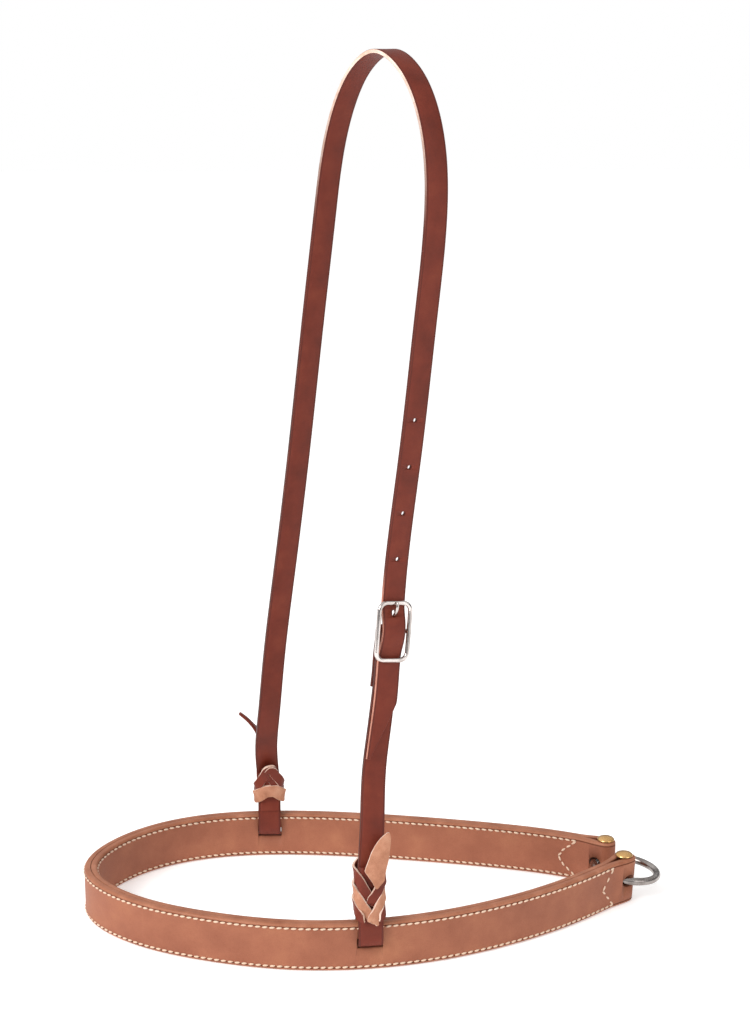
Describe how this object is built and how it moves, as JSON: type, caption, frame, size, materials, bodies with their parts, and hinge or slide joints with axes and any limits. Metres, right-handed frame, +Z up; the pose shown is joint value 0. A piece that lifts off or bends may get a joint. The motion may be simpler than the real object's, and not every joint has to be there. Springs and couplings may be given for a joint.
{
  "type": "bitless hackamore noseband",
  "caption": "Doubled leather noseband with a chin ring between its riveted ends and an adjustable latigo hanger with a buckle.",
  "frame": {"origin": "centre of the overall box at the noseband's lower edge, where it stands", "axes": "+Z up along the hanger, +X towards the chin ring, +Y towards the side without the buckle"},
  "size_m": [0.3182, 0.1604, 0.4553],
  "materials": {
    "harness_leather": "russet harness leather, waxed",
    "lining_leather": "russet lining leather, waxed",
    "latigo_leather": "dark red latigo",
    "latigo_flesh_side": "raw flesh side",
    "cream_thread": "waxed cream thread",
    "lining_thread": "waxed cream thread",
    "brass": "polished",
    "steel_ring": "plain dull steel",
    "nickel": "bright nickel plate"
  },
  "bodies": {
    "noseband": {"noseband_outer_ply": "harness_leather", "noseband_lining": "lining_leather", "near_end_rivet": "brass", "far_end_rivet": "brass", "near_rivet_burr": "brass", "far_rivet_burr": "brass", "outer_stitching": "cream_thread", "inner_stitching": "lining_thread"},
    "ring": {"tie_ring": "steel_ring"},
    "hanger": {"crown_strap": "latigo_leather", "near_cheek_strap": "latigo_leather", "near_knot": "latigo_leather", "far_knot": "latigo_leather", "near_tail": "latigo_flesh_side", "far_tail": "latigo_leather"},
    "buckle": {"buckle_frame": "nickel", "buckle_centre_bar": "nickel"},
    "tongue": {"buckle_tongue": "nickel"}
  },
  "joints": [
    {"name": "ring_lift", "type": "hinge", "parent": "noseband", "child": "ring", "pos_m": [0.13291, 0.00973, 0.0127], "axis": [-0.2861, 0.9582, 0], "range_deg": [-11, 0]},
    {"name": "hanger_swing", "type": "hinge", "parent": "noseband", "child": "hanger", "pos_m": [-0.00794, -0.0706, 0.0149], "axis": [-0.3303, 0.9439, 0], "range_deg": [-3, 3]},
    {"name": "buckle_rock", "type": "hinge", "parent": "hanger", "child": "buckle", "pos_m": [0.00446, -0.03315, 0.16781], "axis": [0.9107, 0.3899, -0.1361], "range_deg": [-0.8, 0.8]},
    {"name": "tongue_lift", "type": "hinge", "parent": "buckle", "child": "tongue", "pos_m": [0.00446, -0.03315, 0.16781], "axis": [0.9107, 0.3899, -0.1361], "range_deg": [0, 2.5]}
  ]
}
